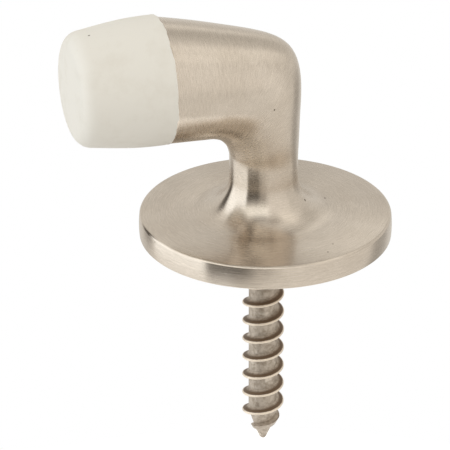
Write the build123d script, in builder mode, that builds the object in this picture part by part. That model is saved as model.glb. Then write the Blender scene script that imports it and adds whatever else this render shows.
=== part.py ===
from math import cos, radians, sin
import os

from build123d import *

# Floor door stop: a cast gooseneck body on a round base, a rubber tip on the end of its arm
# and a hanger screw that holds the base to the floor.
# Millimetres. The origin is the centre of the base's flat underside, +Z is up,
# and the arm points along +X towards the rubber tip.

# Base disc
base_radius = 19.05
rim_height = 3.78
dome_rise = 0.35
rim_edge_radius = 0.5
underside_edge_chamfer = 0.12

# Neck and its foot
neck_radius = 5.15
neck_offset = 0.3
foot_radius = 5.5

# Arm
arm_end_x = 16.5
arm_axis_height = 27.35
arm_end_radius = 9.45

# Side view of the bend: the back runs up the neck, the crown over the top, the belly under the arm
back_lean = 0.4
crown_drop = 6.0
crown_bow = 0.4
crown_corner_radius = 6.6
belly_drop = 0.45
inner_bend_radius = 4.8
bend_side_narrowing = 0.65
arm_sections = 3
fan_sections = 7
neck_joint_overlap = 1.2

# Tapped hole for the hanger screw, up the neck's own axis and opened at its mouth
hole_end_gap = 1.0
thread_clearance = 0.03
mouth_clearance = 0.6
mouth_angle = 90

# Rubber tip, seated a little high on the arm's end
tip_lift = 0.1
tip_length = 13.7
tip_proud = 0.15
tip_taper_start = 3.0
tip_waist_x = 8.5
tip_waist_drop = 0.55
tip_front_drop = 1.25
tip_front_bulge = 0.35
tip_front_edge_radius = 2.4
stem_radius = 4.5
stem_length = 6.0
stem_clearance = 0.15
stem_end_gap = 0.5

# Hanger screw: machine thread above, wood thread below
machine_thread_radius = 3.1
machine_thread_length = 10.5
machine_thread_chamfer = 0.5
wood_thread_radius = 3.18
core_radius = 2.2
screw_length_below = 35.4
point_length = 5.2
point_shoulder_radius = 1.55
point_shoulder_rise = 1.95
nose_radius = 1.15
nose_length = 1.8
nose_end_radius = 0.5
nose_end_length = 0.3
thread_pitch = 3.09
thread_root_width = 1.3
thread_crest_width = 0.3
thread_sunk = 1.1
thread_lead_in = 0.96
thread_start_depth = 0.5
thread_runout = 1.2
thread_trim = 0.1

# Derived places
dome_top = rim_height + dome_rise
neck_front = neck_offset + neck_radius
neck_back = neck_offset - neck_radius
arm_bottom = arm_axis_height - arm_end_radius
arm_top = arm_axis_height + arm_end_radius
arm_half_width_at_bend = arm_end_radius - bend_side_narrowing
crown_corner_height = arm_top - crown_drop
belly_height = arm_bottom - belly_drop
fan_x = neck_front + inner_bend_radius
fan_height = belly_height - inner_bend_radius
foot_top = dome_top + foot_radius
neck_joint_height = fan_height - min(neck_joint_overlap, (fan_height - foot_top) / 2)
tapped_hole_radius = machine_thread_radius + thread_clearance
tapped_hole_depth = machine_thread_length + hole_end_gap
mouth_radius = max(machine_thread_radius, wood_thread_radius) + mouth_clearance
stem_hole_radius = stem_radius + tip_lift + stem_clearance
tip_rear_radius = arm_end_radius + tip_proud
tip_waist_radius = tip_rear_radius - tip_waist_drop
tip_front_radius = tip_rear_radius - tip_front_drop
tip_edge_x = tip_length - tip_front_bulge
thread_depth = wood_thread_radius - core_radius + thread_sunk
point_height = point_length - screw_length_below
point_shoulder_height = point_shoulder_rise - screw_length_below
nose_height = nose_length - screw_length_below
nose_end_height = nose_end_length - screw_length_below
sight_length = 60.0

os.makedirs("parts", exist_ok=True)


# Side view of the gooseneck, from the neck's joint with the foot to the arm's end
with BuildSketch(Plane.XZ) as side_view:
    with BuildLine():
        back = Line((neck_back, fan_height), (neck_back - back_lean, crown_corner_height))
        crown = SagittaArc(back @ 1, (arm_end_x, arm_top), crown_bow)
        end = Line(crown @ 1, (arm_end_x, arm_bottom))
        belly = Line(end @ 1, (neck_front, belly_height))
        front = Line(belly @ 1, (neck_front, fan_height))
        Line(front @ 1, back @ 0)
    make_face()
    crown_corner = side_view.vertices().sort_by_distance(Vector(neck_back, crown_corner_height))[0]
    fillet(crown_corner, crown_corner_radius)
    belly_corner = side_view.vertices().sort_by_distance(Vector(neck_front, belly_height))[0]
    fillet(belly_corner, inner_bend_radius)


def section(middle, upward, half_height, half_width):
    """Elliptical section of the gooseneck, whose plane holds the line from belly to crown."""
    across = Plane(origin=middle, x_dir=upward, z_dir=upward.cross(Vector(0, 1, 0)))
    with BuildSketch(across) as ellipse:
        Ellipse(half_height, half_width)
    return ellipse.sketch.face()


def sighted_section(start, upward, half_width):
    """Section where a line from the hollow of the bend crosses the side view."""
    sight = Edge.make_line(start, start + upward * sight_length)
    chord = side_view.sketch.face().intersect(sight).edges()[0]
    return section(chord @ 0.5, upward, chord.length / 2, half_width)


# Sections stand upright in the arm, then fan round the hollow of the bend down to the neck
up = Vector(0, 0, 1)
sections = [section(Vector(arm_end_x, 0, arm_axis_height), up, arm_end_radius, arm_end_radius)]
for step in range(1, arm_sections):
    share = step / arm_sections
    x = arm_end_x + (fan_x - arm_end_x) * share
    half_width = arm_end_radius + (arm_half_width_at_bend - arm_end_radius) * share
    sections.append(sighted_section(Vector(x, 0, 0), up, half_width))
for step in range(fan_sections):
    share = step / fan_sections
    turn = radians(90 + 90 * share)
    ray = Vector(cos(turn), 0, sin(turn))
    half_width = arm_half_width_at_bend + (neck_radius - arm_half_width_at_bend) * share
    sections.append(sighted_section(Vector(fan_x, 0, fan_height), ray, half_width))
for depth in (0, neck_joint_overlap):
    neck_middle = Vector(neck_offset, 0, fan_height - depth)
    sections.append(section(neck_middle, Vector(-1, 0, 0), neck_radius, neck_radius))

# Cast body: base disc, neck with its foot, gooseneck and the two holes
with BuildPart() as cast_body:
    with BuildSketch(Plane.XZ) as disc:
        with BuildLine():
            Line((0, dome_top), (0, 0))
            Line((0, 0), (base_radius, 0))
            Line((base_radius, 0), (base_radius, rim_height))
            TangentArc((0, dome_top), (base_radius, rim_height), tangent=(1, 0))
        make_face()
        rim = disc.vertices().group_by(Axis.X)[-1].sort_by(Axis.Y)
        fillet(rim[-1], rim_edge_radius)
        chamfer(rim[0], underside_edge_chamfer)
    revolve(axis=Axis.Z)
    with BuildSketch(Plane.XY.offset(rim_height / 2)):
        with Locations((neck_offset, 0)):
            Circle(neck_radius)
    extrude(amount=neck_joint_height - rim_height / 2)
    fillet(cast_body.edges(Select.NEW), foot_radius)
    loft(sections)
    with Locations(Plane(origin=(neck_offset, 0, 0), z_dir=(0, 0, -1))):
        CounterSinkHole(tapped_hole_radius, mouth_radius, tapped_hole_depth, mouth_angle)
    with Locations(Plane(origin=(arm_end_x, 0, arm_axis_height), z_dir=(1, 0, 0))):
        Hole(stem_hole_radius, stem_length + stem_end_gap)
cast_body.part.label = "cast_body"
export_step(cast_body.part, "parts/cast_body.step")

# Rubber tip: turned about its own axis, with a stem that plugs into the arm
tip_middle = Vector(arm_end_x, 0, arm_axis_height + tip_lift)
with BuildPart() as rubber_tip:
    with BuildSketch(Plane(origin=tip_middle, x_dir=(1, 0, 0), z_dir=(0, -1, 0))) as tip:
        with BuildLine():
            Line((tip_length, 0), (-stem_length, 0))
            Line((-stem_length, 0), (-stem_length, stem_radius))
            Line((-stem_length, stem_radius), (0, stem_radius))
            Line((0, stem_radius), (0, tip_rear_radius))
            Spline(
                (0, tip_rear_radius),
                (tip_taper_start, tip_rear_radius),
                (tip_waist_x, tip_waist_radius),
                (tip_edge_x, tip_front_radius),
            )
            TangentArc((tip_length, 0), (tip_edge_x, tip_front_radius), tangent=(0, 1))
        make_face()
        front_corner = tip.vertices().sort_by_distance(Vector(tip_edge_x, tip_front_radius))[0]
        fillet(front_corner, tip_front_edge_radius)
    revolve(axis=Axis(tip_middle, (1, 0, 0)))
rubber_tip.part.label = "rubber_tip"
export_step(rubber_tip.part, "parts/rubber_tip.step")

# Hanger screw: the wood thread is wound first and trimmed to the point, then the core goes in
screw_axis = Axis((neck_offset, 0, 0), (0, 0, 1))
screw_side = Plane(origin=(neck_offset, 0, 0), x_dir=(1, 0, 0), z_dir=(0, -1, 0))
with BuildPart() as hanger_screw:
    with BuildLine() as winding:
        helix = Helix(
            thread_pitch,
            screw_length_below + thread_lead_in,
            core_radius - thread_sunk,
            center=(neck_offset, 0, -screw_length_below - thread_lead_in),
        )
    with BuildSketch(Plane(origin=helix @ 0, x_dir=(1, 0, 0), z_dir=helix % 0)):
        with BuildLine():
            Polyline(
                (0, -thread_root_width / 2),
                (thread_sunk, -thread_root_width / 2),
                (thread_depth, -thread_crest_width / 2),
                (thread_depth, thread_crest_width / 2),
                (thread_sunk, thread_root_width / 2),
                (0, thread_root_width / 2),
                close=True,
            )
        make_face()
    sweep(path=winding.line, is_frenet=True)
    with BuildSketch(screw_side):
        with BuildLine():
            Polyline(
                (0, -thread_start_depth),
                (core_radius, -thread_start_depth),
                (wood_thread_radius + thread_trim, -thread_start_depth - thread_runout),
                (wood_thread_radius + thread_trim, point_height),
                (point_shoulder_radius, point_shoulder_height),
                (nose_radius, nose_height),
                (0, nose_height),
                close=True,
            )
        make_face()
    revolve(axis=screw_axis, mode=Mode.INTERSECT)
    with BuildSketch(screw_side):
        with BuildLine():
            Polyline(
                (0, -screw_length_below),
                (0, machine_thread_length),
                (machine_thread_radius - machine_thread_chamfer, machine_thread_length),
                (machine_thread_radius, machine_thread_length - machine_thread_chamfer),
                (machine_thread_radius, 0),
                (core_radius, -thread_start_depth),
                (core_radius, point_height),
                (nose_radius, nose_height),
                (nose_end_radius, nose_end_height),
            )
            TangentArc(
                (0, -screw_length_below),
                (nose_end_radius, nose_end_height),
                tangent=(1, 0),
            )
        make_face()
    revolve(axis=screw_axis)
hanger_screw.part.label = "hanger_screw"
export_step(hanger_screw.part, "parts/hanger_screw.step")

for piece in (cast_body, rubber_tip, hanger_screw):
    print(piece.part.label, round(piece.part.volume, 1), piece.part.is_valid, len(piece.solids()))
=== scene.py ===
import bmesh
import bpy
import math
import numpy as np
from mathutils import Matrix, Vector, noise as noiseField


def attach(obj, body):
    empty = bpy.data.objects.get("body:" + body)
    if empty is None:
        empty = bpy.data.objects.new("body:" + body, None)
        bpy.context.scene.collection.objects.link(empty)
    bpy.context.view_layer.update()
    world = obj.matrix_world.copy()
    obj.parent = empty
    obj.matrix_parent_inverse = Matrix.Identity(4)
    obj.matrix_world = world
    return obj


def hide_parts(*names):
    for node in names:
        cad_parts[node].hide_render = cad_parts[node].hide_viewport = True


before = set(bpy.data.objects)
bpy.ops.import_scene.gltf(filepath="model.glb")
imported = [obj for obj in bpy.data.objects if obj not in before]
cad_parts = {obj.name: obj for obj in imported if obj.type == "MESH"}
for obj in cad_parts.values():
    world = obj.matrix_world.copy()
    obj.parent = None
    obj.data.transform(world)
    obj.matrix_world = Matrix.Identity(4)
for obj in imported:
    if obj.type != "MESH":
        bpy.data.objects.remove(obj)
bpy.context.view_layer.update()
mm = 0.001
mmPerCm = 10
roundWithin = 1e-6                          # a ring this near to round, in millimetres, is round

# The scene: a floor door stop in satin nickel with a white rubber tip and a hanger screw,
# seen from its arm's left, against white.


# General helpers

def nothingSelected():
    if bpy.context.object and bpy.context.object.mode == "EDIT":
        bpy.ops.object.mode_set(mode="OBJECT")
    bpy.ops.object.select_all(action="DESELECT")


def emptyPiece(name):
    # a new mesh object at the origin, open in edit mode
    nothingSelected()
    piece = bpy.data.objects.new(name, bpy.data.meshes.new(name))
    bpy.context.scene.collection.objects.link(piece)
    bpy.context.view_layer.objects.active = piece
    piece.select_set(True)
    bpy.ops.object.mode_set(mode="EDIT")
    return piece


def skinRings(piece, rings, count):
    # each ring is (middle x, middle z, half height, half width, lean) in millimetres and radians;
    # they are joined vertex by vertex, because a bridge can twist rings that lie near one plane
    for x, z, halfHeight, halfWidth, lean in rings:
        bpy.ops.mesh.select_all(action="DESELECT")
        bpy.ops.mesh.primitive_circle_add(
            vertices=count, radius=halfHeight * mm, fill_type="NOTHING",
            calc_uvs=False, location=(x * mm, 0, z * mm), rotation=(0, lean, 0))
        if abs(halfWidth - halfHeight) > roundWithin:
            bpy.ops.transform.resize(value=(1, halfWidth / halfHeight, 1), center_override=(0, 0, 0))
    mesh = bmesh.from_edit_mesh(piece.data)
    mesh.verts.ensure_lookup_table()
    loops = [mesh.verts[order * count:(order + 1) * count] for order in range(len(rings))]
    for one, two in zip(loops, loops[1:]):
        for k in range(count):
            mesh.faces.new((one[k - 1], one[k], two[k], two[k - 1]))
    mesh.faces.new(loops[0])
    mesh.faces.new(loops[-1])
    bmesh.update_edit_mesh(piece.data)
    bpy.ops.mesh.select_all(action="SELECT")
    bpy.ops.mesh.normals_make_consistent(inside=False)
    bpy.ops.object.mode_set(mode="OBJECT")


def layBrushing(piece, rings, count):
    # UV map that runs along the piece (u, in centimetres) and round it (v, in turns)
    halfTurn = 0.5
    run = [0.0]
    for one, two in zip(rings, rings[1:]):
        step = math.hypot(two[0] - one[0], two[1] - one[1]) + abs(two[3] - one[3])
        run.append(run[-1] + step / mmPerCm)
    layer = piece.data.uv_layers.new(name="brushing")
    for face in piece.data.polygons:
        verts = [piece.data.loops[corner].vertex_index for corner in face.loop_indices]
        turns = [(vert % count) / count for vert in verts]
        wraps = max(turns) - min(turns) > halfTurn       # such a face crosses the map's seam
        for corner, vert, turn in zip(face.loop_indices, verts, turns):
            past = 1 if wraps and turn < halfTurn else 0
            layer.data[corner].uv = (run[vert // count], turn + past)


def naturalCurve(places, values, wanted):
    # natural cubic spline through the values, as a loft runs through its sections
    places, values = np.array(places, float), np.array(values, float)
    gaps = np.diff(places)
    size = len(places)
    left, right = np.zeros((size, size)), np.zeros(size)
    left[0, 0] = left[-1, -1] = 1
    for k in range(1, size - 1):
        left[k, k - 1:k + 2] = gaps[k - 1], 2 * (gaps[k - 1] + gaps[k]), gaps[k]
        slopeBefore = (values[k] - values[k - 1]) / gaps[k - 1]
        slopeAfter = (values[k + 1] - values[k]) / gaps[k]
        right[k] = 6 * (slopeAfter - slopeBefore)
    bends = np.linalg.solve(left, right)
    out = []
    for place in wanted:
        k = min(max(int(np.searchsorted(places, place)) - 1, 0), size - 2)
        a, b, gap = places[k + 1] - place, place - places[k], gaps[k]
        out.append((bends[k] * a ** 3 + bends[k + 1] * b ** 3) / (6 * gap)
                   + (values[k] / gap - bends[k] * gap / 6) * a
                   + (values[k + 1] / gap - bends[k + 1] * gap / 6) * b)
    return out


# Cast body: gooseneck, foot, base and the two holes, as one skin

# millimetres and degrees; a height is measured from the floor
bodySizes = {
    "around": 144,
    "armEnd": (16.5, 27.35, 9.45),          # x, height of the axis, radius
    "armEndEdge": 0.12, "armEndTurns": (0, 30, 60, 90),
    "endFaceShares": (0.45, 0.9),           # rings between the stem's hole and the edge
    "endFaceSteps": (-0.006, 0.004, 0.006),  # in x at hole, face and edge: no rings share a plane
    "endGap": 1.5, "bendDrop": 3,           # gooseneck rings nearer to the end's edge are left out
    "fanMiddle": (10.25, 12.65),
    "crownMiddle": (47.876, -119.362), "crownRadius": 159.28,
    "cornerMiddle": (1.455, 26.09), "cornerRadius": 6.6,
    "backSlope": 0.02204,
    "bellyMiddle": (10.25, 12.841), "bellyRadius": 4.8,
    "bellySlope": 0.45 / 11.05,
    "widthAtBend": 8.8,
    "armSections": 3, "fanSections": 7, "neckOverlap": 1.2, "alongGooseneck": 64,
    "insideStart": (2, 1),                  # how far inside the metal a search for the crown starts
    "searchLength": 60.0, "searchHalvings": 40,
    "neckMiddle": 0.3, "neckRadius": 5.15,
    "footRadius": 5.5, "footRings": 18, "footStop": 0.02, "ringGap": 0.015,
    "topHeight": 4.08, "flatRadius": 12.3, "fall": 0.0112, "topSink": 0.015, "topRings": 26,
    "rimRadius": 19.04, "rimEdge": 0.5, "rimFoot": 0.12, "rimBulge": 0.08,
    "edgeRings": 9, "wallRings": 9, "undersideRings": 5, "undersideRise": 0.008,
    "mouthRadius": 3.78, "boreRadius": 3.13, "boreTop": 11.5, "boreCollar": 0.4,
    "stemHoleRadius": 4.75, "stemHoleDepth": 6.5, "stemHoleSteps": (3, 0.3),
    "smoothAngle": 38,
}


def insideCrown(x, z):
    s = bodySizes
    if math.hypot(x - s["crownMiddle"][0], z - s["crownMiddle"][1]) > s["crownRadius"]:
        return False
    backEdge = s["neckMiddle"] - s["neckRadius"] - s["backSlope"] * (z - s["fanMiddle"][1])
    if x < backEdge:
        return False
    dx, dz = x - s["cornerMiddle"][0], z - s["cornerMiddle"][1]
    pastBack = dz - s["backSlope"] * dx > 0
    reach = (s["cornerMiddle"][0] - s["crownMiddle"][0], s["cornerMiddle"][1] - s["crownMiddle"][1])
    leftOfCrown = reach[0] * dz - reach[1] * dx > 0
    if pastBack and leftOfCrown:
        return math.hypot(dx, dz) < s["cornerRadius"]
    return True


def insideBelly(x, z):
    # true in the open space under the arm
    s = bodySizes
    mx, mz = s["bellyMiddle"]
    if math.hypot(x - mx, z - mz) < s["bellyRadius"]:
        return True
    line = s["armEnd"][1] - s["armEnd"][2] - s["bellySlope"] * (s["armEnd"][0] - x)
    return z < line and x > s["neckMiddle"] + s["neckRadius"] and (x > mx or z < mz)


def reachAlong(startX, startZ, turn, test):
    # how far the test stays true from the start, by halving
    near, far = 0.0, bodySizes["searchLength"]
    for _ in range(bodySizes["searchHalvings"]):
        middle = (near + far) / 2
        if test(startX + math.cos(turn) * middle, startZ + math.sin(turn) * middle):
            near = middle
        else:
            far = middle
    return near


def gooseneckStations():
    # (belly x, belly z, crown x, crown z, half width), from the arm's end to the neck
    s = bodySizes
    endX, axis, radius = s["armEnd"]
    fanX, fanZ = s["fanMiddle"]
    inArm, inFan = s["insideStart"]
    stations = [(endX, axis - radius, endX, axis + radius, radius)]
    for step in range(1, s["armSections"]):
        x = endX + (fanX - endX) * step / s["armSections"]
        bottom = axis - radius - s["bellySlope"] * (endX - x)
        top = bottom + inArm + reachAlong(x, bottom + inArm, math.pi / 2, insideCrown)
        width = radius + (s["widthAtBend"] - radius) * step / s["armSections"]
        stations.append((x, bottom, x, top, width))
    for step in range(s["fanSections"]):
        turn = math.pi / 2 * (1 + step / s["fanSections"])
        low = reachAlong(fanX, fanZ, turn, insideBelly)
        startX, startZ = fanX + math.cos(turn) * (low + inFan), fanZ + math.sin(turn) * (low + inFan)
        high = low + inFan + reachAlong(startX, startZ, turn, insideCrown)
        width = s["widthAtBend"] + (s["neckRadius"] - s["widthAtBend"]) * step / s["fanSections"]
        stations.append((fanX + math.cos(turn) * low, fanZ + math.sin(turn) * low,
                         fanX + math.cos(turn) * high, fanZ + math.sin(turn) * high, width))
    for drop in (0, s["neckOverlap"]):
        stations.append((s["neckMiddle"] + s["neckRadius"], fanZ - drop,
                         s["neckMiddle"] - s["neckRadius"], fanZ - drop, s["neckRadius"]))
    return stations


def gooseneckRings():
    stations = gooseneckStations()
    places = [0.0]
    for one, two in zip(stations, stations[1:]):
        middles = [((a[0] + a[2]) / 2, (a[1] + a[3]) / 2) for a in (one, two)]
        crowns = math.hypot(two[2] - one[2], two[3] - one[3])
        places.append(places[-1] + (math.dist(*middles) + crowns) / 2)
    wanted = np.linspace(0, places[-1], bodySizes["alongGooseneck"])
    tracks = [naturalCurve(places, track, wanted) for track in zip(*stations)]
    rings = []
    for bellyX, bellyZ, crownX, crownZ, width in zip(*tracks):
        dx, dz = crownX - bellyX, crownZ - bellyZ
        middleX, middleZ = (bellyX + crownX) / 2, (bellyZ + crownZ) / 2
        rings.append((middleX, middleZ, math.hypot(dx, dz) / 2, width, math.atan2(-dz, dx)))
    return rings


def bodyRings():
    # from the bottom of the stem's hole, over the arm, neck, foot and base, to the top of the bore
    s = bodySizes
    endX, axis, radius = s["armEnd"]
    hole, edge = s["stemHoleRadius"], s["armEndEdge"]
    holeStep, faceStep, edgeStep = s["endFaceSteps"]
    upright, level = -math.pi / 2, math.pi
    rings = [(endX - s["stemHoleDepth"], axis, hole, hole, upright)]
    for back in s["stemHoleSteps"]:
        rings.append((endX - back, axis, hole, hole, upright))
    rings.append((endX + holeStep, axis, hole, hole, upright))
    for share in s["endFaceShares"]:
        size = hole + (radius - edge - hole) * share
        rings.append((endX + faceStep * share, axis, size, size, upright))
    for turn in s["armEndTurns"]:
        grow, back = math.sin(math.radians(turn)), 1 - math.cos(math.radians(turn))
        size = radius - edge + edge * grow
        rings.append((endX + edgeStep - edge * back, axis, size, size, upright))
    for ring in gooseneckRings():
        if ring[0] < endX - edge * s["endGap"] or ring[1] < axis - s["bendDrop"]:
            rings.append(ring)
    middle = s["neckMiddle"]
    for turn in np.linspace(0, math.pi / 2 - s["footStop"], s["footRings"]):
        size = s["neckRadius"] + s["footRadius"] * (1 - math.cos(turn))
        height = s["topHeight"] + s["footRadius"] * (1 - math.sin(turn))
        if height < rings[-1][1] - s["ringGap"]:
            rings.append((middle, height, size, size, level))
    footEdge = rings[-1][2]
    slope = math.atan(2 * s["fall"] * (s["rimRadius"] - s["rimEdge"] - s["flatRadius"]))
    topEdge = s["rimRadius"] - s["rimBulge"] - s["rimEdge"] * (1 - math.sin(slope))
    for share in np.linspace(0, 1, s["topRings"])[1:]:
        size = footEdge + (topEdge - footEdge) * share
        height = s["topHeight"] - s["topSink"] * share - s["fall"] * max(size - s["flatRadius"], 0) ** 2
        rings.append((middle * (1 - share), height, size, size, level))
    edgeHeight = rings[-1][1] - s["rimEdge"] * math.cos(slope)
    for turn in np.linspace(math.pi / 2 - slope, 0, s["edgeRings"])[1:]:
        size = s["rimRadius"] - s["rimBulge"] - s["rimEdge"] + s["rimEdge"] * math.cos(turn)
        rings.append((0, edgeHeight + s["rimEdge"] * math.sin(turn), size, size, level))
    wallHalf = (edgeHeight - s["rimFoot"]) / 2
    for share in np.linspace(1, -1, s["wallRings"])[1:]:
        size = s["rimRadius"] + s["rimBulge"] * (1 - share ** 2) - s["rimBulge"]
        rings.append((0, s["rimFoot"] + wallHalf * (1 + share), size, size, level))
    inner = s["rimRadius"] - s["rimBulge"] - s["rimFoot"]
    for share in np.linspace(0, 1, s["undersideRings"]):
        size = inner + (s["mouthRadius"] - inner) * share
        rings.append((middle * share, s["undersideRise"] * share, size, size, level))
    depth = s["mouthRadius"] - s["boreRadius"]
    for height in (depth, depth + s["boreCollar"], s["boreTop"] / 2, s["boreTop"]):
        rings.append((middle, height, s["boreRadius"], s["boreRadius"], level))
    return rings


def makeBody():
    rings = bodyRings()
    body = emptyPiece("castBody")
    skinRings(body, rings, bodySizes["around"])
    layBrushing(body, rings, bodySizes["around"])
    bpy.ops.object.shade_smooth_by_angle(angle=math.radians(bodySizes["smoothAngle"]))
    return body


castBody = makeBody()
print("cast body", len(castBody.data.vertices), "vertices")


# Rubber tip: a bumper with a thin ragged lip where it meets the arm, and a stem in the arm's hole

# millimetres and degrees; every pair but the seat is (x past the seat, radius)
tipSizes = {
    "around": 144,
    "seat": (16.5, 27.45),                  # x of the arm's end, height of the tip's axis
    "stem": [(-6.0, 4.2), (-5.7, 4.5), (-2, 4.5), (0.02, 4.5), (0.015, 6.5), (0.01, 8.5), (0.005, 9.3)],
    "lip": [(0.0, 9.47), (-0.14, 9.49), (-0.22, 9.55), (-0.15, 9.61)], "lipTop": 37.08,
    "side": [(0.0, 9.60), (0.7, 9.62), (1.438, 9.63), (2.1, 9.62), (2.877, 9.60), (3.6, 9.565),
             (4.313, 9.52), (5.0, 9.463), (5.746, 9.39), (6.4, 9.318), (7.175, 9.226), (7.9, 9.133),
             (8.601, 9.036), (9.3, 8.938), (10.025, 8.831), (10.7, 8.732), (11.2, 8.658)],
    "corner": (11.099, 6.247), "cornerRadius": 2.4, "cornerTurns": (81.6, 3.7), "cornerRings": 15,
    "faceMiddle": -86.079, "faceRadius": 99.779,
    "faceRings": (5.6, 4.6, 3.6, 2.6, 1.6, 0.8, 0.3),
    "creepWaves": 4.3, "creepAt": 2.7, "creep": 0.20, "creepBack": 0.12,
    "fineWaves": 3.1, "fineCreep": 0.13,
    "swellWaves": 1.7, "swellAt": (9, 3, 1), "swell": 0.14, "fullness": 0.03, "lipFade": 0.5,
    "smoothAngle": 50,
}


def tipRings():
    s = tipSizes
    x0, axis = s["seat"]
    upright = -math.pi / 2
    outline = s["stem"] + s["lip"] + s["side"]
    cornerX, cornerR = s["corner"]
    for turn in np.radians(np.linspace(*s["cornerTurns"], s["cornerRings"])):
        outline.append((cornerX + s["cornerRadius"] * math.cos(turn),
                        cornerR + s["cornerRadius"] * math.sin(turn)))
    for size in s["faceRings"]:
        outline.append((s["faceMiddle"] + math.sqrt(s["faceRadius"] ** 2 - size ** 2), size))
    return [(x0 + x, axis, size, size, upright) for x, size in outline]


def raggedLip(tip):
    # the moulding's thin edge creeps over the arm by an uneven amount, and swells here and there
    s = tipSizes
    count, lipRings, firstRing = s["around"], len(s["lip"]), len(s["stem"])
    axis, waves = s["seat"][1], s["creepWaves"]
    for vert in tip.data.vertices[(firstRing + 1) * count:(firstRing + lipRings + 2) * count]:
        ring = vert.index // count - firstRing
        turn = math.tau * (vert.index % count) / count
        spot = Vector((math.cos(turn) * waves, math.sin(turn) * waves, s["creepAt"]))
        creep = noiseField.noise(spot) * s["creep"]
        creep += noiseField.noise(spot * s["fineWaves"]) * s["fineCreep"]
        swell = max(noiseField.noise(spot * s["swellWaves"] + Vector(s["swellAt"])), 0) * s["swell"]
        share = 1 if ring < lipRings else s["lipFade"]
        y, z = vert.co.y / mm, vert.co.z / mm - axis
        grow = 1 + (swell + s["fullness"]) * share / math.hypot(y, z) if ring > 1 else 1
        vert.co = (vert.co.x - max(creep, -s["creepBack"]) * share * mm, y * grow * mm,
                   min(z * grow + axis, s["lipTop"]) * mm)


def makeTip():
    rings = tipRings()
    tip = emptyPiece("rubberTip")
    skinRings(tip, rings, tipSizes["around"])
    layBrushing(tip, rings, tipSizes["around"])
    raggedLip(tip)
    bpy.ops.object.shade_smooth_by_angle(angle=math.radians(tipSizes["smoothAngle"]))
    return tip


rubberTip = makeTip()
print("rubber tip", len(rubberTip.data.vertices), "vertices")


# Hanger screw: one pitch of the thread wound up with a Screw modifier, then trimmed to its point

# millimetres and degrees; a height is measured from the floor, so the wood thread's are negative
screwSizes = {
    "axis": 0.3,                            # x of the screw's middle
    "pitch": 3.09, "turns": 14, "stepsPerTurn": 60,
    "firstRidge": -36.36,
    "coreRadius": 2.2, "threadRadius": 3.18,
    "ridgeFoot": 1.3, "ridgeTop": 0.3, "rootSteps": 5,
    "flank": [(0.35, 0.2), (0.7, 0.4)],     # out from the core, in from the ridge's foot
    "crestEdge": 0.05, "crestFlat": 0.4,
    "length": 35.4, "threadStart": 0.5, "threadRunout": 1.2, "threadTrim": 0.1,
    "pointStart": -30.2, "shoulder": (-33.45, 1.55), "shoulderFall": 2.6,
    "noseStart": (-33.6, 1.15), "noseEnd": (-35.1, 0.5), "noseRound": 0.567,
    "cutDepth": 0.45, "machineRadius": 3.1, "machineLength": 10.5, "machineChamfer": 0.5,
    "coreSkin": 0.01, "mergeWithin": 0.004, "tinyEdge": 0.001,
    "smoothAngle": 45,
}


def coreAt(z):
    s = screwSizes
    if z >= s["pointStart"]:
        return s["coreRadius"]
    if z >= s["noseStart"][0]:
        share = (s["pointStart"] - z) / (s["pointStart"] - s["noseStart"][0])
        return s["coreRadius"] + (s["noseStart"][1] - s["coreRadius"]) * share
    if z >= s["noseEnd"][0]:
        share = (s["noseStart"][0] - z) / (s["noseStart"][0] - s["noseEnd"][0])
        return s["noseStart"][1] + (s["noseEnd"][1] - s["noseStart"][1]) * share
    rise = max(z + s["length"], 0)
    return math.sqrt(max(2 * s["noseRound"] * rise - rise * rise, 0))


def trimAt(z):
    # the furthest that the thread may reach out at this height
    s = screwSizes
    top = s["threadRadius"] + s["threadTrim"]
    if z > -s["threadStart"] - s["threadRunout"]:
        share = min(max((-s["threadStart"] - z) / s["threadRunout"], 0), 1)
        return s["coreRadius"] + (top - s["coreRadius"]) * share
    if z >= s["pointStart"]:
        return top
    if z >= s["shoulder"][0]:
        share = (s["pointStart"] - z) / (s["pointStart"] - s["shoulder"][0])
        return top + (s["shoulder"][1] - top) * share
    return max(coreAt(z), s["shoulder"][1] - (s["shoulder"][0] - z) * s["shoulderFall"])


def threadProfile():
    # one pitch of the thread, (radius, height): a ridge and the root above it
    s = screwSizes
    foot, top = s["ridgeFoot"] / 2, s["ridgeTop"] / 2
    core, crest = s["coreRadius"], s["threadRadius"]
    gap = (s["pitch"] - s["ridgeFoot"]) / s["rootSteps"]
    lower = [(core, -foot)] + [(core + out, up - foot) for out, up in s["flank"]]
    lower += [(crest - s["crestEdge"], -top), (crest, -top * s["crestFlat"])]
    upper = [(x, -z) for x, z in reversed(lower)]
    return lower + upper + [(core, foot + gap * (k + 1)) for k in range(s["rootSteps"])]


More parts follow.
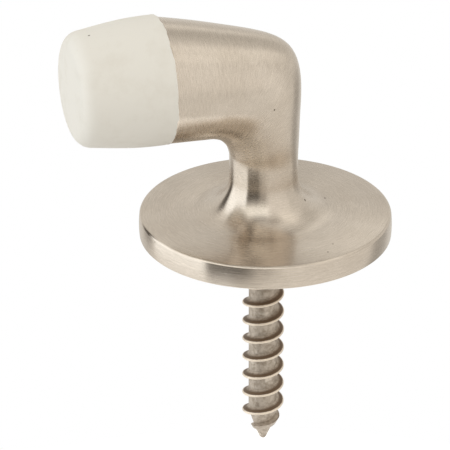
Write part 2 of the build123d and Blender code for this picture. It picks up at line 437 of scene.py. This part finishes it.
def makeScrew():
    s = screwSizes
    screw = emptyPiece("hangerScrew")
    mesh = bmesh.from_edit_mesh(screw.data)
    corners = []
    for x, z in threadProfile():
        corners.append(mesh.verts.new((x * mm, 0, (z + s["firstRidge"] - s["pitch"]) * mm)))
    for one, two in zip(corners, corners[1:]):
        mesh.edges.new((one, two))
    bmesh.update_edit_mesh(screw.data)
    bpy.ops.object.mode_set(mode="OBJECT")
    winding = screw.modifiers.new("winding", "SCREW")
    winding.axis = "Z"
    winding.angle = math.tau
    winding.screw_offset = s["pitch"] * mm
    winding.iterations = s["turns"]
    winding.steps = winding.render_steps = s["stepsPerTurn"]
    winding.use_merge_vertices = True
    bpy.ops.object.modifier_apply(modifier="winding")
    for vert in screw.data.vertices:
        x, y, z = (value / mm for value in vert.co)
        reach, turn = math.hypot(x, y), math.atan2(y, x)
        core = coreAt(z)
        onCore = reach < s["coreRadius"] + s["coreSkin"]
        size = core if onCore else max(core, min(reach, trimAt(z)))
        vert.co = ((s["axis"] + size * math.cos(turn)) * mm, size * math.sin(turn) * mm,
                   max(z, -s["length"]) * mm)
    bpy.ops.object.mode_set(mode="EDIT")
    bpy.ops.mesh.select_all(action="SELECT")
    bpy.ops.mesh.remove_doubles(threshold=s["mergeWithin"] * mm)
    bpy.ops.mesh.select_all(action="SELECT")
    bpy.ops.mesh.bisect(plane_co=(0, 0, -s["cutDepth"] * mm), plane_no=(0, 0, 1), clear_outer=True)
    bpy.ops.mesh.select_all(action="DESELECT")
    bpy.ops.mesh.select_non_manifold(extend=False, use_wire=False, use_multi_face=False,
                                     use_non_contiguous=False, use_verts=False)
    chamfer = s["machineChamfer"]
    for size, rise in ((s["machineRadius"], s["cutDepth"]),
                       (s["machineRadius"], s["machineLength"] - chamfer),
                       (s["machineRadius"] - chamfer, chamfer)):
        bpy.ops.mesh.extrude_region_move(TRANSFORM_OT_translate={"value": (0, 0, rise * mm)})
        mesh = bmesh.from_edit_mesh(screw.data)
        ring = [vert for vert in mesh.verts if vert.select]
        now = math.hypot(ring[0].co.x / mm - s["axis"], ring[0].co.y / mm)
        bpy.ops.transform.resize(value=(size / now, size / now, 1),
                                 center_override=(s["axis"] * mm, 0, ring[0].co.z))
    bpy.ops.mesh.edge_face_add()
    bpy.ops.mesh.select_all(action="SELECT")
    bpy.ops.mesh.dissolve_degenerate(threshold=s["tinyEdge"] * mm)
    bpy.ops.mesh.select_all(action="DESELECT")
    bpy.ops.mesh.select_non_manifold(extend=False)
    bpy.ops.mesh.fill_holes(sides=0)
    bpy.ops.mesh.select_all(action="SELECT")
    bpy.ops.mesh.normals_make_consistent(inside=False)
    bpy.ops.object.mode_set(mode="OBJECT")
    bpy.ops.object.shade_smooth_by_angle(angle=math.radians(s["smoothAngle"]))
    return screw


hangerScrew = makeScrew()
print("hanger screw", len(hangerScrew.data.vertices), "vertices")


# Materials

def newMaterial(name):
    material = bpy.data.materials.new(name)
    material.use_nodes = True
    tree = material.node_tree
    return material, tree, tree.nodes["Principled BSDF"]


def addNode(tree, kind, inputs=None, **settings):
    made = tree.nodes.new(kind)
    for key, value in settings.items():
        setattr(made, key, value)
    for key, value in (inputs or {}).items():
        if isinstance(value, bpy.types.NodeSocket):
            tree.links.new(value, made.inputs[key])
        else:
            made.inputs[key].default_value = value
    return made


def maths(tree, operation, one, two=0.0, three=None):
    inputs = {0: one, 1: two}
    if three is not None:
        inputs[2] = three
    return addNode(tree, "ShaderNodeMath", inputs, operation=operation).outputs[0]


def noise(tree, vector, scale, detail, rough):
    made = addNode(tree, "ShaderNodeTexNoise",
                   {"Vector": vector, "Scale": scale, "Detail": detail, "Roughness": rough})
    return made.outputs["Fac"]


def remap(tree, value, fromLow, fromHigh, toLow, toHigh):
    made = addNode(tree, "ShaderNodeMapRange", {0: value, 1: fromLow, 2: fromHigh, 3: toLow, 4: toHigh})
    made.clamp = True
    return made.outputs[0]


def spread(tree, value, toLow, toHigh):
    # nearly all of a noise lies between 0.3 and 0.7
    return remap(tree, value, 0.3, 0.7, toLow, toHigh)


def mixColours(tree, factor, one, two, blend="MIX"):
    made = tree.nodes.new("ShaderNodeMix")
    made.data_type = "RGBA"
    made.blend_type = blend
    for socket, value in ((made.inputs[0], factor), (made.inputs[6], one), (made.inputs[7], two)):
        if isinstance(value, bpy.types.NodeSocket):
            tree.links.new(value, socket)
        else:
            socket.default_value = value
    return made.outputs[2]


def spotsAt(tree, place, spots):
    # 1 on the spots and 0 away from them
    inner, outer = 0.6, 1.3                 # the soft edge, in shares of a spot's size
    total = None
    for middle, size in spots:
        apart = addNode(tree, "ShaderNodeVectorMath", {0: place, 1: [value * mm for value in middle]},
                        operation="DISTANCE").outputs["Value"]
        spot = remap(tree, apart, size * inner * mm, size * outer * mm, 1, 0)
        total = spot if total is None else maths(tree, "MAXIMUM", total, spot)
    return total


white = (1, 1, 1, 1)


def addBump(tree, shader, relief, strength, depth):
    bump = addNode(tree, "ShaderNodeBump",
                   {"Height": relief, "Strength": strength, "Distance": depth * mm}).outputs[0]
    tree.links.new(bump, shader.inputs["Normal"])


# patterns are (scale, detail, roughness), and brush lines are (fineness along the piece,
# fineness round it, detail, roughness)
nickelFinish = {
    "colour": (0.655, 0.58, 0.495, 1),
    "shade": (0.62, 0.545, 0.46, 1), "shadeFrom": (0.35, 0.65),
    "roughness": (0.24, 0.30),
    "finerBelow": (9, 17, 0.94),            # heights and share: the base and foot are polished finer
    "anisotropy": 0.86,
    "ringLines": (60, 3, 5, 0.6), "ringTone": (0.925, 1.06),
    "hairLines": (95, 9, 3, 0.7), "hairTone": (0.88, 1.09),
    "sand": (4200, 2, 0.5), "sandTone": (0.965, 1.03),
    "grain": (9000, 3, 0.6),
    "cloud": (220, 3, 0.5),
    "ringRelief": 0.7, "grainRelief": 0.3, "brushDepth": 0.014, "bump": 0.5,
    "pits": [((-5.17, 3.28, 6.13), 0.20), ((-9.57, -0.32, 4.14), 0.16), ((-5.84, 14.36, 4.03), 0.14),
             ((-4.37, 16.38, 3.87), 0.13), ((0.97, 7.13, 23.5), 0.13), ((18.53, 4.06, 3.06), 0.10)],
    "pitColour": (0.10, 0.075, 0.05, 1),
}


def brushLines(tree, along, around, detail, rough):
    # noise on a seamless place on the skin: round the piece as a circle, along it as height
    place = addNode(tree, "ShaderNodeUVMap", uv_map="brushing").outputs[0]
    parts = addNode(tree, "ShaderNodeSeparateXYZ", {0: place})
    turn = maths(tree, "MULTIPLY", parts.outputs[1], math.tau)
    across = maths(tree, "MULTIPLY", maths(tree, "COSINE", turn), around)
    over = maths(tree, "MULTIPLY", maths(tree, "SINE", turn), around)
    up = maths(tree, "MULTIPLY", parts.outputs[0], along)
    wound = addNode(tree, "ShaderNodeCombineXYZ", {0: across, 1: over, 2: up}).outputs[0]
    return noise(tree, wound, 1.0, detail, rough)


def satinNickel():
    finish = nickelFinish
    material, tree, shader = newMaterial("satinNickel")
    place = addNode(tree, "ShaderNodeTexCoord").outputs["Object"]
    ringLines = brushLines(tree, *finish["ringLines"])
    hairLines = brushLines(tree, *finish["hairLines"])
    grain, cloud, sand = (noise(tree, place, *finish[key]) for key in ("grain", "cloud", "sand"))
    clouded = remap(tree, cloud, *finish["shadeFrom"], 0, 1)
    tone = mixColours(tree, clouded, finish["colour"], finish["shade"])
    stroke = maths(tree, "MULTIPLY", spread(tree, ringLines, *finish["ringTone"]),
                   spread(tree, sand, *finish["sandTone"]))
    stroke = maths(tree, "MULTIPLY", stroke, spread(tree, hairLines, *finish["hairTone"]))
    tone = mixColours(tree, 1.0, tone, stroke, "MULTIPLY")
    tone = mixColours(tree, spotsAt(tree, place, finish["pits"]), tone, finish["pitColour"])
    tree.links.new(tone, shader.inputs["Base Color"])
    height = addNode(tree, "ShaderNodeSeparateXYZ", {0: place}).outputs[2]
    low, high, share = finish["finerBelow"]
    polish = remap(tree, height, low * mm, high * mm, share, 1)
    rough = maths(tree, "MULTIPLY", spread(tree, ringLines, *finish["roughness"]), polish)
    tree.links.new(rough, shader.inputs["Roughness"])
    shader.inputs["Metallic"].default_value = 1
    shader.inputs["Anisotropic"].default_value = finish["anisotropy"]
    along = addNode(tree, "ShaderNodeTangent", direction_type="UV_MAP", uv_map="brushing").outputs[0]
    tree.links.new(along, shader.inputs["Tangent"])
    relief = maths(tree, "ADD", maths(tree, "MULTIPLY", ringLines, finish["ringRelief"]),
                   maths(tree, "MULTIPLY", grain, finish["grainRelief"]))
    addBump(tree, shader, relief, finish["bump"], finish["brushDepth"])
    return material


rubberFinish = {
    "colour": (0.765, 0.735, 0.672, 1),
    # painted shade: the side gets a darker copy of the face's colour, as less light falls on it than on
    # the lit face
    "side": (0.745, 0.715, 0.65, 1),
    "worn": (0.675, 0.635, 0.56, 1),
    "roughness": 0.62,
    "shadedSideToLitFaceAt": (28.6, 30.0),                 # x over which the side's painted shade turns to the lit face's lighter colour
    "cloud": (260, 5, 0.65), "cloudWear": (0.5, 0.72, 0, 0.5),
    "fine": (1500, 5, 0.7), "fineWear": (0.62, 0.75, 0, 0.4),
    "grain": (2600, 4, 0.6), "grainDepth": 0.02, "bump": 0.5,
    "dirt": [((27.15, 0.63, 36.16), 0.16)],
    "dirtColour": (0.16, 0.13, 0.10, 1),
}


def whiteRubber():
    finish = rubberFinish
    material, tree, shader = newMaterial("whiteRubber")
    place = addNode(tree, "ShaderNodeTexCoord").outputs["Object"]
    cloud, fine, grain = (noise(tree, place, *finish[key]) for key in ("cloud", "fine", "grain"))
    parts = addNode(tree, "ShaderNodeSeparateXYZ", {0: place})
    # painted shade and light: the tip's side is coloured darker and its face lighter, blending along x
    low, high = finish["shadedSideToLitFaceAt"]
    face = remap(tree, parts.outputs[0], low * mm, high * mm, 0, 1)
    tone = mixColours(tree, face, finish["side"], finish["colour"])
    tone = mixColours(tree, remap(tree, cloud, *finish["cloudWear"]), tone, finish["worn"])
    tone = mixColours(tree, remap(tree, fine, *finish["fineWear"]), tone, finish["worn"])
    tone = mixColours(tree, spotsAt(tree, place, finish["dirt"]), tone, finish["dirtColour"])
    tree.links.new(tone, shader.inputs["Base Color"])
    shader.inputs["Roughness"].default_value = finish["roughness"]
    addBump(tree, shader, grain, finish["bump"], finish["grainDepth"])
    return material


steelFinish = {
    "core": (0.52, 0.45, 0.375, 1),
    "coreDark": (0.30, 0.245, 0.19, 1), "coreDarkFrom": (0.42, 0.66, 0, 1),
    "spots": (0.72, 0.65, 0.56, 1), "spotsFrom": (0.6, 0.7, 0, 0.8),
    # painted shade: a dark brown for the thread's upper flanks, standing in for the shade under the
    # base
    "flank": (0.155, 0.105, 0.068, 1), "paintedShadeFlankFrom": (2.28, 2.6, 0, 1),
    "upward": (0.1, 0.5, 0, 1),             # painted shade: the flanks that face up are darkened, as the base above shades them and they mirror its dark underside
    # painted highlight: a light tan line on the thread's crests, where light catches them
    "crest": (0.80, 0.70, 0.58, 1), "crestHighlightFrom": (2.98, 3.1, 0, 1),
    "ragged": 0.3,                          # how far the borders wander, in millimetres
    "metallic": 0.6, "roughness": (0.38, 0.58),
    "mottle": (1300, 6, 0.7), "fine": (5200, 4, 0.7), "blotch": (520, 3, 0.5),
    "fineRelief": 0.5, "reliefDepth": 0.03, "bump": 0.7,
}


def dullSteel():
    finish = steelFinish
    material, tree, shader = newMaterial("dullScrewSteel")
    place = addNode(tree, "ShaderNodeTexCoord").outputs["Object"]
    parts = addNode(tree, "ShaderNodeSeparateXYZ", {0: place})
    across = maths(tree, "SUBTRACT", parts.outputs[0], screwSizes["axis"] * mm)
    reach = maths(tree, "SQRT", maths(tree, "ADD", maths(tree, "POWER", across, 2),
                                      maths(tree, "POWER", parts.outputs[1], 2)))
    reach = maths(tree, "DIVIDE", reach, mm)
    facing = addNode(tree, "ShaderNodeSeparateXYZ",
                     {0: addNode(tree, "ShaderNodeNewGeometry").outputs["True Normal"]}).outputs[2]
    mottle, fine, blotch = (noise(tree, place, *finish[key]) for key in ("mottle", "fine", "blotch"))
    darkened = remap(tree, mottle, *finish["coreDarkFrom"])
    tone = mixColours(tree, darkened, finish["core"], finish["coreDark"])
    tone = mixColours(tree, remap(tree, blotch, *finish["spotsFrom"]), tone, finish["spots"])
    wobble = maths(tree, "MULTIPLY_ADD", fine, finish["ragged"], -finish["ragged"] / 2)
    ragged = maths(tree, "ADD", reach, wobble)
    # painted shade: flanks are darkened by how far they face up
    paintedFlankShade = maths(tree, "MULTIPLY", remap(tree, ragged, *finish["paintedShadeFlankFrom"]),
                       remap(tree, facing, *finish["upward"]))
    tone = mixColours(tree, paintedFlankShade, tone, finish["flank"])
    # painted highlight: the crests are coloured light tan
    tone = mixColours(tree, remap(tree, ragged, *finish["crestHighlightFrom"]), tone, finish["crest"])
    tree.links.new(tone, shader.inputs["Base Color"])
    shader.inputs["Metallic"].default_value = finish["metallic"]
    tree.links.new(spread(tree, mottle, *finish["roughness"]), shader.inputs["Roughness"])
    relief = maths(tree, "ADD", mottle, maths(tree, "MULTIPLY", fine, finish["fineRelief"]))
    addBump(tree, shader, relief, finish["bump"], finish["reliefDepth"])
    return material


def dress(piece, material, node):
    piece.data.materials.clear()
    piece.data.materials.append(material)
    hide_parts(node)
    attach(piece, "root")


dress(castBody, satinNickel(), "cast_body")
dress(rubberTip, whiteRubber(), "rubber_tip")
dress(hangerScrew, dullSteel(), "hanger_screw")
print("materials")


# Stage: a pale floor well under the screw's point

stage = {
    "height": -90, "radius": 100, "sides": 96,
    "colour": (0.8, 0.8, 0.8, 1), "roughness": 0.8,
    "glow": 0.5,                            # what it adds in the camera's and in mirrored rays
}


def makeFloor():
    nothingSelected()
    bpy.ops.mesh.primitive_circle_add(vertices=stage["sides"], radius=stage["radius"] * mm,
                                      fill_type="NGON", location=(0, 0, stage["height"] * mm))
    floor = bpy.context.object
    floor.name = "floor"
    bpy.ops.object.transform_apply(location=True, rotation=True, scale=True)
    material, tree, shader = newMaterial("paleFloor")
    shader.inputs["Base Color"].default_value = stage["colour"]
    shader.inputs["Roughness"].default_value = stage["roughness"]
    shader.inputs["Emission Color"].default_value = white
    ray = addNode(tree, "ShaderNodeLightPath")
    seen = maths(tree, "MAXIMUM", ray.outputs["Is Camera Ray"], ray.outputs["Is Glossy Ray"])
    seen = maths(tree, "MAXIMUM", seen, ray.outputs["Is Transmission Ray"])
    tree.links.new(maths(tree, "MULTIPLY", seen, stage["glow"]), shader.inputs["Emission Strength"])
    floor.data.materials.append(material)


makeFloor()
print("floor")


# Light: a pale studio with a bright card on the left and a dark one beside it

studio = {
    "wall": (0.93, 0.905, 0.86, 1),
    "seam": -95,                            # the bearing where the turn starts and ends
    # colour, bearings, their soft widths, heights above the level, their soft widths, in degrees
    "cards": {
        "upperWall": ((1.03, 1.00, 0.95, 1), (-200, 300), (1, 1), (-3, 95), (2.5, 1)),
        "farSide": ((0.84, 0.815, 0.77, 1), (150, 215), (12, 10), (-12, 34), (8, 8)),
        "farWall": ((0.82, 0.80, 0.76, 1), (200, 300), (18, 1), (-95, 95), (1, 1)),
        "farHigh": ((0.70, 0.68, 0.64, 1), (192, 224), (10, 8), (24, 50), (5, 6)),
        "acrossBase": ((1.12, 1.1, 1.05, 1), (234, 251), (4, 3), (28, 50), (3, 5)),
        "backLow": ((0.62, 0.60, 0.57, 1), (240, 262), (6, 3), (17, 24), (3, 2)),
        "highFar": ((1.30, 1.27, 1.20, 1), (124, 182), (8, 10), (44, 60), (3, 4)),
        "nearWall": ((0.82, 0.80, 0.76, 1), (-120, -60), (1, 12), (-95, 95), (1, 1)),
        "farShade": ((0.5, 0.485, 0.46, 1), (184, 214), (5, 10), (-60, -8), (5, 6)),
        "ceilingNear": ((0.10, 0.09, 0.075, 1), (-120, 86), (1, 14), (58, 76), (5, 4)),
        "ceilingSide": ((0.34, 0.31, 0.27, 1), (86, 150), (8, 14), (62, 78), (4, 4)),
        "ceilingFar": ((0.30, 0.28, 0.25, 1), (232, 300), (14, 1), (44, 110), (5, 1)),
        "besideCamera": ((0.42, 0.395, 0.36, 1), (15, 82), (6, 12), (-20, 22), (10, 4)),
        "shadeCard": ((0.07, 0.06, 0.05, 1), (-64, -47), (4, 2.5), (-22, 30), (5, 6)),
        "brightCard": ((1.58, 1.63, 1.66, 1), (-45, 19), (2.5, 1.5), (-24, 38), (8, 8)),
        "lowCard": ((1.12, 1.12, 1.10, 1), (-40, 41), (4, 4), (-70, -27), (1, 3)),
        "darkCard": ((0.05, 0.043, 0.036, 1), (18.5, 60), (1.5, 9), (-27.5, 14), (2, 9)),
        "topCard": ((1.70, 1.72, 1.68, 1), (-10, 90), (15, 12), (28, 57), (3, 5)),
    },
    # metres and watts
    "lamp": {"place": (0.35, 0.2, 0.6), "aim": (0, 0, 0), "size": 0.5, "power": 0.6},
}


def smoothStep(tree, value, fromLow, fromHigh, toLow, toHigh):
    return addNode(tree, "ShaderNodeMapRange", {0: value, 1: fromLow, 2: fromHigh, 3: toLow, 4: toHigh},
                   interpolation_type="SMOOTHSTEP").outputs[0]


def window(tree, value, low, high, softLow, softHigh):
    # 1 between low and high, falling to 0 outside over the soft widths
    rise = smoothStep(tree, value, low - softLow, low + softLow, 0, 1)
    fall = smoothStep(tree, value, high - softHigh, high + softHigh, 1, 0)
    return maths(tree, "MULTIPLY", rise, fall)


def makeStudio():
    world = bpy.data.worlds.new("studio")
    bpy.context.scene.world = world
    world.use_nodes = True
    tree = world.node_tree
    ground = tree.nodes["Background"]
    direction = addNode(tree, "ShaderNodeTexCoord").outputs["Generated"]
    inDegrees = math.degrees(1)
    middle = studio["seam"] + 180           # the bearing opposite the seam
    turned = addNode(tree, "ShaderNodeVectorRotate",
                     {"Vector": direction, "Angle": -math.radians(middle)},
                     rotation_type="Z_AXIS").outputs[0]
    parts = addNode(tree, "ShaderNodeSeparateXYZ", {0: turned})
    around = maths(tree, "ARCTAN2", parts.outputs[1], parts.outputs[0])
    bearing = maths(tree, "MULTIPLY_ADD", around, inDegrees, middle)
    height = maths(tree, "MULTIPLY", maths(tree, "ARCSINE", parts.outputs[2]), inDegrees)
    tone = studio["wall"]
    for colour, bearings, softBearings, heights, softHeights in studio["cards"].values():
        place = maths(tree, "MULTIPLY", window(tree, bearing, *bearings, *softBearings),
                      window(tree, height, *heights, *softHeights))
        tone = mixColours(tree, place, tone, colour)
    ray = addNode(tree, "ShaderNodeLightPath")
    tone = mixColours(tree, ray.outputs["Is Camera Ray"], tone, white)
    tree.links.new(tone, ground.inputs["Color"])
    ground.inputs["Strength"].default_value = 1


def makeLamp():
    s = studio["lamp"]
    lamp = bpy.data.lights.new("softTop", "AREA")
    lamp.shape = "DISK"
    lamp.size = s["size"]
    lamp.energy = s["power"]
    holder = bpy.data.objects.new("softTop", lamp)
    bpy.context.scene.collection.objects.link(holder)
    holder.location = s["place"]
    holder.rotation_euler = (Vector(s["aim"]) - Vector(s["place"])).to_track_quat("-Z", "Y").to_euler()
    holder.visible_glossy = False


makeStudio()
makeLamp()
print("light")


# Camera at the photograph's place

# degrees and millimetres: where it stands, seen from the origin, and how far the view is moved over
cameraSizes = {
    "bearing": 17.4, "height": 26.35, "distance": 600, "roll": 0.1,
    "across": 6.077, "up": -1.055, "lens": 318.34, "sensor": 36,
    "clip": (0.01, 10),                     # metres
}


def makeCamera():
    s = cameraSizes
    bearing, height, roll = (math.radians(s[key]) for key in ("bearing", "height", "roll"))
    toCamera = Vector((math.cos(height) * math.sin(bearing), math.cos(height) * math.cos(bearing),
                       math.sin(height)))
    right = Vector((-math.cos(bearing), math.sin(bearing), 0))
    up = toCamera.cross(right)
    across = math.cos(roll) * right - math.sin(roll) * up
    over = math.sin(roll) * right + math.cos(roll) * up
    place = s["distance"] * toCamera - s["across"] * across - s["up"] * over
    data = bpy.data.cameras.new("camera")
    data.sensor_width = s["sensor"]
    data.lens = s["lens"]
    data.clip_start, data.clip_end = s["clip"]
    holder = bpy.data.objects.new("camera", data)
    bpy.context.scene.collection.objects.link(holder)
    turned = Matrix((across, over, toCamera)).transposed()
    holder.matrix_world = Matrix.Translation(place * mm) @ turned.to_4x4()
    bpy.context.scene.camera = holder


makeCamera()
print("camera")
bpy.context.scene.view_settings.view_transform = "Standard"
